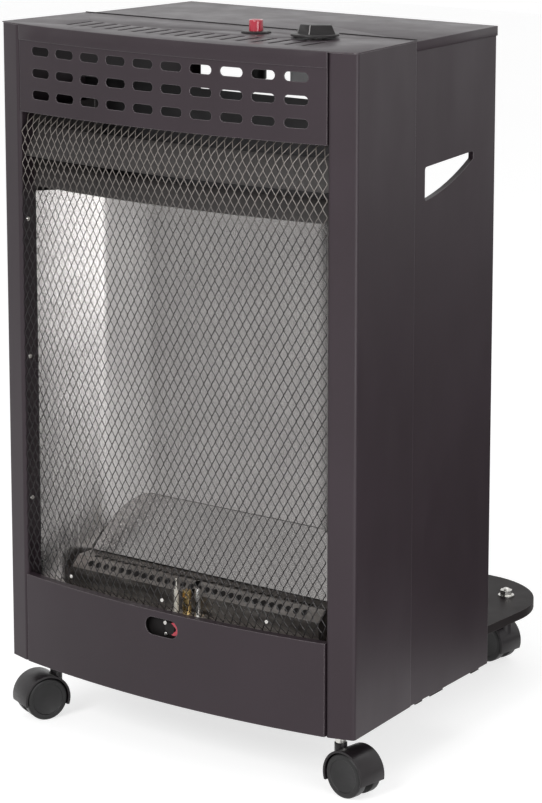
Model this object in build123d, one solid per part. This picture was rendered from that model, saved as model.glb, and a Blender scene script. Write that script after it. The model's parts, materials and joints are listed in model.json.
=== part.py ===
from build123d import *
import math
import os

# Portable gas cabinet heater. Millimetres, +Z up, front towards -Y.
# Origin: on the floor, under the middle of the heater's footprint.

# ---------------------------------------------------------------- driving sizes
body_height = 680.0        # cabinet, lower edge to top
castor_gap = 67.4          # floor to the cabinet's lower edge
front_w = 450.0            # over the outer front corners
front_taper = 13.0         # each side comes in this much from front corner to seam
rear_taper = 12.0          # and this much from seam to rear edge
front_depth = 116.0        # front corners to side seam
rear_depth = 164.0         # side seam to rear edge
base_overhang = 240.5      # base plate behind the cabinet
sheet = 1.0                # cabinet sheet steel
fit_gap = 0.2              # between sheets that lie against each other
body_gap = 0.4             # between pieces that move against each other
cutter_l = 60.0            # length of a cutter through the bowed front

# corner posts and bowed front
post_w = 30.0
post_lead = 9.0            # the post's face comes forward this much to its inner edge
post_return = 22.0         # flange behind the post's inner edge
post_bend = 4.0
bow = 17.0                 # rise of the bowed front over its chord

# front bands, heights above the cabinet's lower edge
lower_panel_top = 96.0
guard_foot = 12.0          # height of the guard's leaning foot
guard_head = 17.0          # and of its leaning head
grille_h = 90.0            # grille panel under the top
cover_flange = 16.0
cover_fold = 0.9           # outer radius of the fold over the grille
panel_return = 9.0
grille_return = 20.0

# louvred grille in the upper front
grille_columns = 10
grille_rows = 3
grille_edge = 19.8         # panel's end to the first slot
grille_pitch_z = 22.4
grille_slot_l = 26.0
grille_slot_h = 9.0
grille_foot = 19.0         # panel's lower edge to the first row's middle

# vent slots in the top
vent_count = 17
vent_edge = 46.2           # bowed front's end to the first slot's middle
vent_length = 40.0
vent_width = 5.0
vent_setback = 30.0        # bowed edge to the slot's front end

# expanded metal guard
guard_t = 1.2
guard_setback = 2.0
guard_pitch_x = 28.0
guard_pitch_z = 44.0
guard_strand = 3.4
guard_border = 5.0
guard_return = 15.0        # the upper edge leans back this far
guard_foot_return = 6.0    # and the lower edge this far
guard_screw_r = 2.5
guard_screw_h = 1.2
guard_screw_y = 10.0       # screws behind the posts' inner corners
guard_screw_shares = (0.165, 0.475, 0.77)

# sight hole of the pilot
sight_x = 2.0
sight_height = 79.5
sight_l = 42.0
sight_h = 19.0
sight_margin = 4.0         # tray around the hole
sight_depth = 7.0
sight_plug_r = 7.0

# firebox
cheek_lap = 12.0           # cheeks lap the posts' flanges this much
cheek_flange = 10.0
reflector_t = 0.8
reflector_depth = 84.0
reflector_wing = 30.0      # its wings lean in this much on their way back
reflector_bend = 8.0
reflector_lap = 4.0        # its top reaches up behind the lower hood
hood_lip = 8.0             # hood lips behind the bowed front
lower_hood_drop = 90.0     # lower hood's lip under the grille panel
lower_hood_rise = 32.0
lower_hood_run = 26.0
upper_hood_drop = 47.0     # upper hood's lip under the grille panel
upper_hood_run = 32.0
hearth_height = 82.0
partition_inset = 4.0      # partition in front of the side seam
partition_drop = 68.0      # partition's upper edge under the top

# burner, gas way and pilot
burner_inset = 32.8        # burner's ends inside the posts
burner_w = 34.0
burner_h = 30.0
burner_chamfer = 11.0
burner_setback = 26.0      # burner behind the front corners
port_r = 3.6
port_pitch = 10.4
port_edge = 12.0
burner_wall = 1.5
mixer_r = 11.0
mixer_l = 150.0
mixer_wall = 1.5
mixer_height = 60.0
injector_r = 6.0
injector_l = 18.0
injector_gap = 8.0         # air gap between injector and mixing tube
injector_inset = 71.8      # injector's nose inside the post
pipe_r = 3.0
pipe_bend = 9.0
pipe_gap = 5.8             # gas pipe outside the cheek's inner face
riser_r = 9.0
mixer_flare = 5.0
bracket_t = 2.0
bracket_w = 30.0
pilot_x = 2.0
pilot_setback = 16.0
pilot_w = 44.0
pilot_d = 12.0
pilot_step = 14.0
pilot_r = 4.5
pilot_h = 24.0
pilot_pipe_r = 2.0
pilot_pipe_drop = 14.0
pilot_bend = 9.0
thermocouple_l = 28.0
electrode_r = 2.6
thermocouple_r = 3.0

# controls on the top
knob_inset = 104.0         # knob in from the front corner
knob_seam = 43.0           # in front of the side seam
knob_skirt_r = 24.0
knob_skirt_h = 3.0
knob_grip_l = 40.0
knob_grip_w = 11.0
knob_flare = 2.5           # grip's sides spread this much on their way down
knob_h = 15.0
knob_angle = 90.0          # grip's long axis from +X
push_travel = 2.0          # knob and spindle push in to turn
spindle_r = 4.0
spindle_grip = 9.0         # spindle inside the knob
neck_r = 6.0               # valve's neck in the cover
valve_w = 38.0
valve_h = 40.0
valve_corner = 6.0
plate_l = 60.0             # plate that hangs the valve under the cover
plate_w = 46.0
inlet_r = 5.0
inlet_l = 34.0
inlet_boss = 6.0
button_step = 75.0         # button in from the knob
button_seam = 40.0
button_r = 7.2
button_h = 11.0
button_travel = 6.0
button_guide = 14.0        # button inside its bore at rest
nut_h = 4.0
igniter_r = 10.5
igniter_l = 46.0
bezel_r = 15.0
bezel_h = 2.0

# rear housing
panel_overlap = 12.0       # rear sheets run this far under the front housing
rear_flange = 12.0
top_flange = 10.0
hold_front = 21.0          # hand-hold behind the seam
hold_l = 97.0
hold_h = 38.0
hold_drop = 162.0          # its lower front corner under the top
hold_front_h = 34.0
hold_rear_h = 8.0
hold_belly = 10.4          # lower edge at mid length over its front end
hold_corner = 3.0
hold_lip = 6.0             # rim turned inwards round the hand-hold

# base plate
base_t = 1.5
base_lift = 9.0            # underside of the plate above the cabinet's lower edge
base_rim = 8.0
tongue_inset = 53.0        # tongue's sides in from the rear corners
tongue_r = 95.0
bottle_step = 171.5        # partition to the bottle's middle
field_r = 130.0            # raised field where the bottle stands
field_rise = 1.5
base_vents = 6
base_vent_l = 52.0
base_vent_w = 16.0
base_vent_r = 52.0         # vents' centres from the bottle's centre
lug_steps = (21.0, 57.0, 138.0)
lug_lengths = (14.0, 26.0, 16.0)
lug_drop = 13.0

# castors
wheel_r = 23.0
wheel_w = 10.4
wheel_round = 2.5
wheel_dish = 0.8
wheel_dish_r = 17.0
wheel_bore = 8.0
castor_trail = 17.4
castor_web = 10.0
fender_w = 34.0
fender_drop = 7.0          # hood's lower edge under the axle
fender_tilt = 4.5          # and its slope, lower towards the stem
fender_t = 2.4
boss_r = 6.5
boss_gap = 17.0            # stem boss under the cabinet's lower edge
hub_r = 8.0
wheel_clear = 0.8
axle_r = 3.0
bolt_r = 4.0
bolt_socket = 12.0
collar_r = 5.5
washer_r = 9.0
washer_t = 1.5
bolt_nut_r = 7.2
bolt_nut_h = 7.0
bolt_dome_r = 5.6
run_fit = 0.05             # radial running clearance
seat_fit = 0.02            # radial clearance of fixed fits
front_castor_inset = 36.4  # front stems in from the corners
front_castor_y = 28.0
rear_castor_side = 44.0    # rear stems in from the tongue's sides
rear_castor_inset = 56.0
front_left_angle = -114.0  # trail directions from +X
front_right_angle = -7.0
rear_left_angle = 152.0
rear_right_angle = 174.0

# ---------------------------------------------------------------- derived places
z_low = castor_gap
z_top = castor_gap + body_height
seam_w = front_w - 2 * front_taper
rear_w = seam_w - 2 * rear_taper
overall_depth = post_lead + bow + front_depth + rear_depth + base_overhang
front_y = -overall_depth / 2 + post_lead + bow
seam_y = front_y + front_depth
rear_y = seam_y + rear_depth
base_rear_y = rear_y + base_overhang
chord_half = front_w / 2 - post_w
chord_y = front_y - post_lead
panel_half = chord_half - fit_gap
grille_bottom = body_height - grille_h
grille_pitch_x = (2 * (panel_half - grille_edge) - grille_slot_l) / (grille_columns - 1)
vent_pitch = 2 * (chord_half - vent_edge) / (vent_count - 1)
guard_low = lower_panel_top + fit_gap
guard_high = grille_bottom - fit_gap
foot_fold = lower_panel_top + guard_foot
head_fold = grille_bottom - guard_head
bow_r = (chord_half ** 2 + bow ** 2) / (2 * bow)
bow_centre_y = chord_y - bow + bow_r
base_under = z_low + base_lift
base_top = base_under + base_t
partition_y = seam_y - partition_inset
tongue_w = rear_w - 2 * tongue_inset
bottle_y = partition_y + bottle_step
cheek_x = chord_half + sheet + fit_gap
return_back = chord_y + post_return
lower_hood_bottom = grille_bottom - lower_hood_drop
upper_hood_bottom = grille_bottom - upper_hood_drop
burner_l = 2 * (panel_half - burner_inset)
cover_under = z_top - sheet
burner_y = front_y + burner_setback + burner_w / 2
pilot_y = front_y + pilot_setback
hearth_top = z_low + hearth_height + sheet
mixer_z = z_low + mixer_height
injector_x = panel_half - injector_inset
riser_x = injector_x - injector_gap - mixer_flare - mixer_l
knob_x = front_w / 2 - knob_inset
button_x = knob_x - button_step
pipe_x = cheek_x + pipe_gap
valve_y = seam_y - knob_seam
igniter_y = seam_y - button_seam
valve_z = cover_under - fit_gap - bracket_t - valve_h / 2
pilot_drop_x = pipe_x + 2 * pipe_r + pilot_pipe_r
knob_lift = push_travel + body_gap
boss_top = castor_gap - boss_gap
front_castor_x = front_w / 2 - front_castor_inset
rear_castor_x = tongue_w / 2 - rear_castor_side
rear_inset = sheet + fit_gap
rear_lean = math.degrees(math.atan((seam_w - rear_w) / 2 / rear_depth))


def bow_y(x, setback=0.0):
    """Y of the bowed front at x, a setback behind its face."""
    return bow_centre_y - math.sqrt((bow_r - setback) ** 2 - x ** 2)


def half_width(y):
    """Half width of the cabinet at y, over its outer faces."""
    if y <= seam_y:
        share = (y - front_y) / front_depth
        return (front_w + (seam_w - front_w) * share) / 2
    return rear_x(y, 0)


def rear_x(y, inset):
    """X of a sheet of the rear housing at y, an inset inside its outer face."""
    share = (y - seam_y) / rear_depth
    return (seam_w + (rear_w - seam_w) * share) / 2 - inset


# ---------------------------------------------------------------- shared shapes
def up(face, z, height):
    """Extrudes a plan face upwards from height z."""
    return extrude(Pos(0, 0, z) * face, amount=height, dir=(0, 0, 1))


def bow_band(half, setback, thick):
    """Plan of a sheet that follows the bowed front."""
    back = setback + thick
    front = ThreePointArc(
        (-half, bow_y(half, setback)), (0, bow_y(0, setback)), (half, bow_y(half, setback)))
    rear = ThreePointArc(
        (half, bow_y(half, back)), (0, bow_y(0, back)), (-half, bow_y(half, back)))
    right = Line((half, bow_y(half, setback)), (half, bow_y(half, back)))
    left = Line((-half, bow_y(half, back)), (-half, bow_y(half, setback)))
    return make_face([front, right, rear, left])


def bow_sheet(half, setback, thick, low, high):
    """A bowed sheet between two heights above the cabinet's lower edge."""
    return up(bow_band(half, setback, thick), z_low + low, high - low)


def leaning_sheet(half, setback, thick, low, lean, rise):
    """A bowed sheet whose upper edge leans back."""
    foot = Pos(0, 0, z_low + low) * bow_band(half, setback, thick)
    head = Pos(0, 0, z_low + low + rise) * bow_band(half, setback + lean, thick)
    return loft([foot, head], ruled=True)


def folded(points, bend, thick, z, height, side=Side.LEFT):
    """Sheet bent along a plan line, standing on height z."""
    line = FilletPolyline(*points, radius=bend)
    plan = make_face(offset(line, amount=thick, side=side))
    return up(plan, z, height)


def front_slot(x, height, length, width):
    """Cutter for a stadium hole through the bowed front."""
    hole = Plane((x, front_y + cutter_l / 3, z_low + height), x_dir=(1, 0, 0), z_dir=(0, -1, 0))
    return extrude(hole * SlotOverall(length, width), amount=cutter_l)


def rod(start, direction, radius, length):
    """Round bar from start along direction."""
    return extrude(Plane(start, z_dir=direction) * Circle(radius), amount=length)


# ---------------------------------------------------------------- front housing
def corner_post(hand):
    """Front side wall, corner post and return flange, folded from one sheet."""
    inner = chord_half
    line = [
        (hand * half_width(seam_y), seam_y),
        (hand * front_w / 2, front_y),
        (hand * inner, chord_y),
        (hand * inner, return_back),
    ]
    side = Side.RIGHT if hand > 0 else Side.LEFT
    return folded(line, post_bend, sheet, z_low, body_height - sheet - fit_gap, side)


def cover_plan():
    """Outline of the front top cover."""
    left_seam = (-half_width(seam_y), seam_y)
    right_seam = (half_width(seam_y), seam_y)
    left_corner = (-front_w / 2, front_y)
    right_corner = (front_w / 2, front_y)
    edge = ThreePointArc((-chord_half, chord_y), (0, bow_y(0)), (chord_half, chord_y))
    return make_face([
        Line(left_seam, left_corner),
        Line(left_corner, (-chord_half, chord_y)),
        edge,
        Line((chord_half, chord_y), right_corner),
        Line(right_corner, right_seam),
        Line(right_seam, left_seam),
    ])


def is_front_fold(edge):
    """The cover's bowed upper edge."""
    middle = edge @ 0.5
    return middle.Z > z_top - fit_gap and middle.Y < bow_y(0) + fit_gap


def front_cover():
    """Top of the front housing, with vent slots and a flange over the grille."""
    cover = up(cover_plan(), cover_under, sheet)
    cover += bow_sheet(panel_half, 0, sheet, body_height - cover_flange, body_height - sheet)
    hem_w = 2 * (half_width(seam_y) - 2 * sheet - fit_gap)
    hem = Box(hem_w, sheet, top_flange / 2)
    hem_drop = panel_overlap + sheet
    cover += Pos(0, seam_y - hem_drop - sheet, cover_under - top_flange / 4) * hem
    slots = []
    for i in range(vent_count):
        x = (i - (vent_count - 1) / 2) * vent_pitch
        y = bow_y(x) + vent_setback + vent_length / 2
        slots.append(up(Pos(x, y) * Rot(0, 0, 90) * SlotOverall(vent_length, vent_width),
                        cover_under - sheet, 3 * sheet))
    cover = fillet(cover.edges().filter_by(is_front_fold), radius=cover_fold) - slots
    low = cover_under - sheet
    cover -= rod((knob_x, valve_y, low), (0, 0, 1), neck_r + fit_gap, 3 * sheet)
    cover -= rod((button_x, igniter_y, low), (0, 0, 1), igniter_r + fit_gap, 3 * sheet)
    return cover


def end_returns(setback, low, high):
    """Ends of a bowed panel, turned back along the posts' flanges."""
    front = chord_y + setback
    turn = Box(sheet, panel_return, high - low, align=(Align.MAX, Align.MIN, Align.MIN))
    right = Pos(panel_half, front, z_low + low) * turn
    return right + mirror(right, about=Plane.YZ)


def grille_panel():
    """Bowed upper front with rows of stadium holes."""
    setback = sheet + fit_gap
    panel = bow_sheet(panel_half, setback, sheet, grille_bottom, body_height - sheet - fit_gap)
    panel += bow_sheet(panel_half, setback, grille_return, grille_bottom, grille_bottom + sheet)
    panel += end_returns(setback, grille_bottom, body_height - sheet - fit_gap)
    slots = []
    for row in range(grille_rows):
        for column in range(grille_columns):
            x = (column - (grille_columns - 1) / 2) * grille_pitch_x
            height = grille_bottom + grille_foot + row * grille_pitch_z
            slots.append(front_slot(x, height, grille_slot_l, grille_slot_h))
    return panel - slots


def lower_panel():
    """Bowed lower front with the pilot's sight hole."""
    panel = bow_sheet(panel_half, 0, sheet, 0, lower_panel_top)
    panel += bow_sheet(panel_half, 0, panel_return, lower_panel_top - sheet, lower_panel_top)
    panel += bow_sheet(panel_half, 0, panel_return, 0, sheet)
    panel += end_returns(0, 0, lower_panel_top)
    return panel - front_slot(sight_x, sight_height, sight_l, sight_h)


def guard_hole(x, height):
    """Cutter for one diamond of the guard."""
    inner_r = guard_pitch_x * guard_pitch_z / 2 / math.hypot(guard_pitch_x, guard_pitch_z)
    share = 1 - guard_strand / 2 / inner_r
    half_x = share * guard_pitch_x / 2
    half_z = share * guard_pitch_z / 2
    diamond = Polygon((half_x, 0), (0, half_z), (-half_x, 0), (0, -half_z), align=None)
    hole = Plane((x, front_y + cutter_l / 3, z_low + height), x_dir=(1, 0, 0), z_dir=(0, -1, 0))
    return extrude(hole * diamond, amount=cutter_l)


def mesh_guard():
    """Bowed expanded metal guard, its upper and lower edges folded back."""
    guard = bow_sheet(panel_half, guard_setback, guard_t, foot_fold, head_fold)
    guard += leaning_sheet(panel_half, guard_setback, guard_t, head_fold,
                           guard_return, guard_high - head_fold)
    guard += leaning_sheet(panel_half, guard_setback + guard_foot_return, guard_t, guard_low,
                           -guard_foot_return, foot_fold - guard_low)
    open_w = 2 * (panel_half - guard_border)
    open_h = guard_high - guard_low - 2 * guard_border
    columns = int(open_w / guard_pitch_x)
    rows = int(open_h / guard_pitch_z)
    mid = (guard_low + guard_high) / 2
    holes = []
    for i in range(columns):
        for j in range(rows):
            x = (i - (columns - 1) / 2) * guard_pitch_x
            height = mid + (j - (rows - 1) / 2) * guard_pitch_z
            holes.append(guard_hole(x, height))
            if i < columns - 1 and j < rows - 1:
                holes.append(guard_hole(x + guard_pitch_x / 2, height + guard_pitch_z / 2))
    return guard - holes


# ---------------------------------------------------------------- firebox
def cheek(hand):
    """Dark side wall of the firebox, from the post's flange to the partition."""
    back = partition_y - fit_gap - sheet
    line = [
        (hand * cheek_x, return_back - cheek_lap),
        (hand * cheek_x, back),
        (hand * (cheek_x - cheek_flange), back),
    ]
    side = Side.RIGHT if hand > 0 else Side.LEFT
    low = hearth_top + fit_gap
    return folded(line, 2 * sheet, sheet, low, z_low + grille_bottom - low, side)


def reflector():
    """Bright reflector behind the flames, a flat back between two wings."""
    half = cheek_x - fit_gap - reflector_t
    deep_half = half - reflector_wing
    edge_y = return_back + body_gap
    deep_y = edge_y + reflector_depth
    line = [(-half, edge_y), (-deep_half, deep_y), (deep_half, deep_y), (half, edge_y)]
    low = hearth_top + fit_gap
    height = z_low + lower_hood_bottom + reflector_lap - low
    return folded(line, reflector_bend, reflector_t, low, height, Side.LEFT)


def lower_hood():
    """Bowed deflector hood over the reflector."""
    return leaning_sheet(panel_half, hood_lip, sheet, lower_hood_bottom,
                         lower_hood_run, lower_hood_rise)


def upper_hood():
    """Upper deflector that throws warm air through the grille."""
    rise = grille_bottom - fit_gap - upper_hood_bottom
    return leaning_sheet(panel_half, hood_lip, sheet, upper_hood_bottom, upper_hood_run, rise)


def partition():
    """Wall between firebox and bottle compartment."""
    half = rear_x(partition_y + sheet, sheet + rear_inset + fit_gap)
    height = z_top - partition_drop - base_top
    wall = Box(2 * half, sheet, height, align=(Align.CENTER, Align.MIN, Align.MIN))
    return Pos(0, partition_y, base_top) * wall


def hearth():
    """Floor of the firebox, with holes for the burner's riser and the pilot pipe."""
    edge = guard_setback + guard_t + guard_foot_return + fit_gap
    front = bow_y(panel_half, edge)
    back = partition_y - fit_gap
    plan = make_face([
        ThreePointArc((-panel_half, front), (0, bow_y(0, edge)), (panel_half, front)),
        Polyline((panel_half, front), (panel_half, back), (-panel_half, back),
                 (-panel_half, front)),
    ])
    floor = up(plan, hearth_top - sheet, sheet)
    low = hearth_top - 2 * sheet
    floor -= rod((riser_x, burner_y, low), (0, 0, 1), riser_r + fit_gap, 3 * sheet)
    floor -= rod((pilot_x, pilot_y, low), (0, 0, 1), pilot_pipe_r + fit_gap, 3 * sheet)
    return floor


# ---------------------------------------------------------------- burner and gas way
def burner():
    """Blue flame burner: a closed box with two rows of flame ports."""
    half = burner_w / 2
    section = Polygon(
        (-half, 0), (half, 0), (half, burner_h), (burner_chamfer - half, burner_h),
        (-half, burner_h - burner_chamfer), align=None)
    plane = Plane((-burner_l / 2, burner_y, hearth_top), x_dir=(0, 1, 0), z_dir=(1, 0, 0))
    box = extrude(plane * section, amount=burner_l)
    inner = plane.offset(burner_wall) * offset(section, amount=-burner_wall)
    box -= extrude(inner, amount=burner_l - 2 * burner_wall)
    face = Plane((0, burner_y - half + burner_chamfer / 2, hearth_top + burner_h - burner_chamfer / 2),
                 z_dir=(0, -1, 1))
    ports = []
    count = int((burner_l - 2 * port_edge) / port_pitch)
    for i in range(count):
        x = (i - (count - 1) / 2) * port_pitch
        low = hearth_top + burner_h - 2 * burner_wall
        ports.append(rod((x, burner_y, low), (0, 0, 1), port_r, 3 * burner_wall))
        hole = face * Pos(x, 0, -2 * burner_wall) * Circle(port_r)
        ports.append(extrude(hole, amount=3 * burner_wall))
    inlet = rod((riser_x, burner_y, hearth_top - sheet), (0, 0, 1), riser_r - mixer_wall,
                sheet + 2 * burner_wall)
    return box - ports - inlet


def mixing_tube():
    """Venturi tube under the hearth, with its riser into the burner."""
    start_x = riser_x - riser_r
    length = mixer_l + riser_r
    rise = hearth_top - mixer_z
    mouth = Pos(start_x + length, burner_y, mixer_z) * Rot(0, 90, 0)
    low = (Align.CENTER, Align.CENTER, Align.MIN)
    inner_r = mixer_r - mixer_wall
    body = rod((start_x, burner_y, mixer_z), (1, 0, 0), mixer_r, length)
    body += mouth * Cone(mixer_r, mixer_r + mixer_flare, mixer_flare, align=low)
    body += rod((riser_x, burner_y, mixer_z), (0, 0, 1), riser_r, rise)
    body -= rod((start_x + mixer_wall, burner_y, mixer_z), (1, 0, 0), inner_r, length)
    body -= mouth * Cone(inner_r, inner_r + mixer_flare, mixer_flare, align=low)
    body -= rod((riser_x, burner_y, mixer_z), (0, 0, 1), riser_r - mixer_wall, rise)
    return body


def injector():
    """Brass injector with its nose, shank and hexagon."""
    step = injector_l / 3
    nose = rod((injector_x, burner_y, mixer_z), (1, 0, 0), injector_r / 2, step)
    shank = rod((injector_x + step, burner_y, mixer_z), (1, 0, 0), injector_r, step)
    hexagon = Plane((injector_x + 2 * step, burner_y, mixer_z), z_dir=(1, 0, 0))
    return nose + shank + extrude(hexagon * RegularPolygon(4 / 3 * injector_r, 6), amount=step)


def injector_bracket():
    """Angle that hangs the injector from the hearth."""
    x = injector_x + 2 * injector_l / 3
    top = hearth_top - sheet
    drop = top - mixer_z + 2 * injector_r
    align = (Align.MAX, Align.CENTER, Align.MAX)
    plate = Box(bracket_t, bracket_w, drop, align=align)
    foot = Box(bracket_w / 2, bracket_w, bracket_t, align=align)
    angle = Pos(x, burner_y, top) * (plate + foot)
    return angle - rod((x - 2 * bracket_t, burner_y, mixer_z), (1, 0, 0),
                       injector_r + seat_fit, 3 * bracket_t)


def bent_pipe(points, radius, bend):
    """Pipe of straight runs and round bends."""
    path = FilletPolyline(*points, radius=bend)
    start = Plane(points[0], z_dir=path % 0)
    return sweep(start * Circle(radius), path=path)


def gas_pipe():
    """Pipe from the control valve to the injector."""
    return bent_pipe([
        (knob_x + valve_w / 2, valve_y, valve_z),
        (pipe_x, valve_y, valve_z),
        (pipe_x, valve_y, mixer_z),
        (pipe_x, burner_y, mixer_z),
        (injector_x + injector_l, burner_y, mixer_z),
    ], pipe_r, pipe_bend)


def pilot_pipe():
    """Thin pipe from the control valve to the pilot burner."""
    y = valve_y + valve_w / 4
    z = valve_z - valve_h / 4
    low = z_low + hearth_height - pilot_pipe_drop
    return bent_pipe([
        (knob_x + valve_w / 2, y, z),
        (pilot_drop_x, y, z),
        (pilot_drop_x, y, low),
        (pilot_drop_x, pilot_y, low),
        (pilot_x, pilot_y, low),
        (pilot_x, pilot_y, hearth_top + bracket_t),
    ], pilot_pipe_r, pilot_bend)


def pilot_bracket():
    """Plate that carries pilot burner, electrode and thermocouple."""
    plate = Pos(pilot_x, pilot_y, hearth_top) * Box(
        pilot_w, pilot_d, bracket_t, align=(Align.CENTER, Align.CENTER, Align.MIN))
    low = hearth_top - sheet
    plate -= rod((pilot_x, pilot_y, low), (0, 0, 1), pilot_pipe_r + seat_fit, 2 * bracket_t)
    plate -= rod((pilot_x - pilot_step, pilot_y, low), (0, 0, 1), electrode_r + seat_fit, 2 * bracket_t)
    plate -= rod((pilot_x + pilot_step, pilot_y, low), (0, 0, 1), thermocouple_r + seat_fit,
                 2 * bracket_t)
    return plate


def pilot_burner():
    """Brass pilot burner, with a flame slot in its head."""
    body = rod((pilot_x, pilot_y, hearth_top + bracket_t), (0, 0, 1), pilot_r, pilot_h)
    slot_z = hearth_top + bracket_t + pilot_h - pilot_r
    return body - Pos(pilot_x, pilot_y - pilot_r, slot_z) * Box(pilot_r, pilot_r, pilot_r)


def spark_electrode():
    """Ceramic electrode with its wire tip."""
    x = pilot_x - pilot_step
    stem = rod((x, pilot_y, hearth_top), (0, 0, 1), electrode_r, pilot_h)
    return stem + rod((x, pilot_y, hearth_top + pilot_h), (0, 0, 1), electrode_r / 3, pilot_h / 2)


def thermocouple():
    """Flame failure thermocouple with a rounded tip."""
    x = pilot_x + pilot_step
    stem = rod((x, pilot_y, hearth_top), (0, 0, 1), thermocouple_r, thermocouple_l)
    return stem + Pos(x, pilot_y, hearth_top + thermocouple_l) * Sphere(thermocouple_r)


def sight_tray_y():
    """Front of the sight tray, against the inside of the lower panel."""
    edge = abs(sight_x) + sight_l / 2 + sight_margin + sheet
    return bow_y(edge, sheet) + fit_gap


def sight_box():
    """Dark tray behind the sight hole."""
    align = (Align.CENTER, Align.MIN, Align.CENTER)
    inner_l = sight_l + 2 * sight_margin
    inner_h = sight_h + 2 * sight_margin
    outer = Box(inner_l + 2 * sheet, sight_depth, inner_h + 2 * sheet, align=align)
    tray = outer - Pos(0, -sheet, 0) * Box(inner_l, sight_depth, inner_h, align=align)
    return Pos(sight_x, sight_tray_y(), z_low + sight_height) * tray


def sight_plug():
    """Red end cap at the right of the sight tray."""
    x = sight_x + sight_l / 2 - sight_plug_r
    floor_y = sight_tray_y() + sight_depth - sheet
    return rod((x, floor_y, z_low + sight_height), (0, -1, 0), sight_plug_r, 2 * sight_depth / 3)


# ---------------------------------------------------------------- controls
def valve_plate():
    """Plate under the cover that carries the control valve."""
    plate = Pos(knob_x, valve_y, cover_under - fit_gap) * Box(
        plate_l, plate_w, bracket_t, align=(Align.CENTER, Align.CENTER, Align.MAX))
    low = cover_under - 2 * bracket_t
    return plate - rod((knob_x, valve_y, low), (0, 0, 1), neck_r + fit_gap, 2 * bracket_t)


def control_valve():
    """Body of the control valve, with its neck through the cover and its inlet boss."""
    body = Pos(knob_x, valve_y, valve_z) * Box(valve_w, valve_w, valve_h)
    body = fillet(body.edges().filter_by(Axis.Z), radius=valve_corner)
    body += rod((knob_x, valve_y, valve_z), (0, 0, 1), neck_r, z_top - valve_z)
    body += rod((knob_x, valve_y, valve_z), (0, 1, 0), 1.6 * inlet_r, valve_w / 2 + inlet_boss)
    bore = rod((knob_x, valve_y, valve_z), (0, 0, 1), spindle_r + run_fit, valve_h)
    return body - bore


def hose_inlet():
    """Spigot for the gas hose, facing the bottle compartment."""
    start = valve_y + valve_w / 2 + inlet_boss
    place = Pos(knob_x, start, valve_z) * Rot(-90, 0, 0)
    low = (Align.CENTER, Align.CENTER, Align.MIN)
    spigot = Cylinder(inlet_r, inlet_l, align=low)
    spigot += extrude(RegularPolygon(1.8 * inlet_r, 6), amount=inlet_boss)
    return place * (spigot - Cylinder(inlet_r / 2, 3 * inlet_l))


def spindle():
    """Steel spindle of the control valve."""
    low = valve_z + push_travel + body_gap
    top = z_top + knob_lift + spindle_grip
    return rod((knob_x, valve_y, low), (0, 0, 1), spindle_r, top - low)


def knob():
    """Round skirt with a tapered bar grip."""
    low = (Align.CENTER, Align.CENTER, Align.MIN)
    skirt = Cone(knob_skirt_r, knob_skirt_r - knob_skirt_h / 2, knob_skirt_h, align=low)
    corner = knob_grip_w / 3
    foot = RectangleRounded(knob_grip_l + 2 * knob_flare, knob_grip_w + 2 * knob_flare, corner)
    head = RectangleRounded(knob_grip_l, knob_grip_w, corner)
    grip = loft([Pos(0, 0, knob_skirt_h) * foot, Pos(0, 0, knob_h) * head])
    bore = Cylinder(spindle_r + seat_fit, spindle_grip + fit_gap, align=low)
    return Pos(knob_x, valve_y, z_top + knob_lift) * Rot(0, 0, knob_angle) * (skirt + grip - bore)


def igniter_body():
    """Piezo igniter, hung in the cover by its bezel."""
    x, y = button_x, igniter_y
    body = rod((x, y, z_top - igniter_l), (0, 0, 1), igniter_r, igniter_l)
    bezel = rod((x, y, z_top), (0, 0, 1), bezel_r, bezel_h)
    bezel = chamfer(bezel.edges().group_by(Axis.Z)[-1], length=bezel_h / 2)
    depth = bezel_h + button_guide + button_travel + body_gap
    bore = rod((x, y, z_top + bezel_h - depth), (0, 0, 1), button_r + run_fit, depth + sheet)
    return body + bezel - bore


def igniter_nut():
    """Clamp nut under the cover."""
    plane = Plane((button_x, igniter_y, cover_under - nut_h))
    ring = RegularPolygon(4 / 3 * igniter_r, 6) - Circle(igniter_r + seat_fit)
    return extrude(plane * ring, amount=nut_h)


def button():
    """Red push button of the igniter."""
    low = z_top + bezel_h - button_guide
    top = z_top + bezel_h + button_h
    body = rod((button_x, igniter_y, low), (0, 0, 1), button_r, top - low)
    return fillet(body.edges().group_by(Axis.Z)[-1], radius=button_r / 4)


# ---------------------------------------------------------------- rear housing
def hold_shape():
    """Sail-shaped outline of the hand-hold, from its lower front corner."""
    rear_low = (hold_l, hold_h - hold_rear_h)
    face = make_face([
        ThreePointArc((0, 0), (hold_l / 2, hold_belly), rear_low),
        Polyline(rear_low, (hold_l, hold_h), (0, hold_front_h), (0, 0)),
    ])
    return fillet(face.vertices(), radius=hold_corner)


def side_panel(hand):
    """Rear side wall with a rimmed hand-hold and a turned-in rear edge."""
    start = seam_y - panel_overlap
    line = [
        (hand * rear_x(start, rear_inset), start),
        (hand * rear_x(rear_y, rear_inset), rear_y),
        (hand * (rear_x(rear_y, rear_inset) - rear_flange), rear_y),
    ]
    side = Side.LEFT if hand > 0 else Side.RIGHT
    height = body_height - 2 * rear_inset
    wall = folded(line, 2 * sheet, sheet, z_low, height, side)
    plane = Plane((0, seam_y + hold_front, z_top - hold_drop), x_dir=(0, 1, 0), z_dir=(1, 0, 0))
    rim = extrude(plane * offset(hold_shape(), amount=sheet), amount=hand * front_w)
    rim_plan = Polygon(
        (hand * rear_x(start, rear_inset), start),
        (hand * rear_x(rear_y, rear_inset), rear_y),
        (hand * rear_x(rear_y, rear_inset + hold_lip), rear_y),
        (hand * rear_x(start, rear_inset + hold_lip), start), align=None)
    wall += rim & up(rim_plan, z_low, height)
    return wall - extrude(plane * hold_shape(), amount=hand * front_w)


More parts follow.
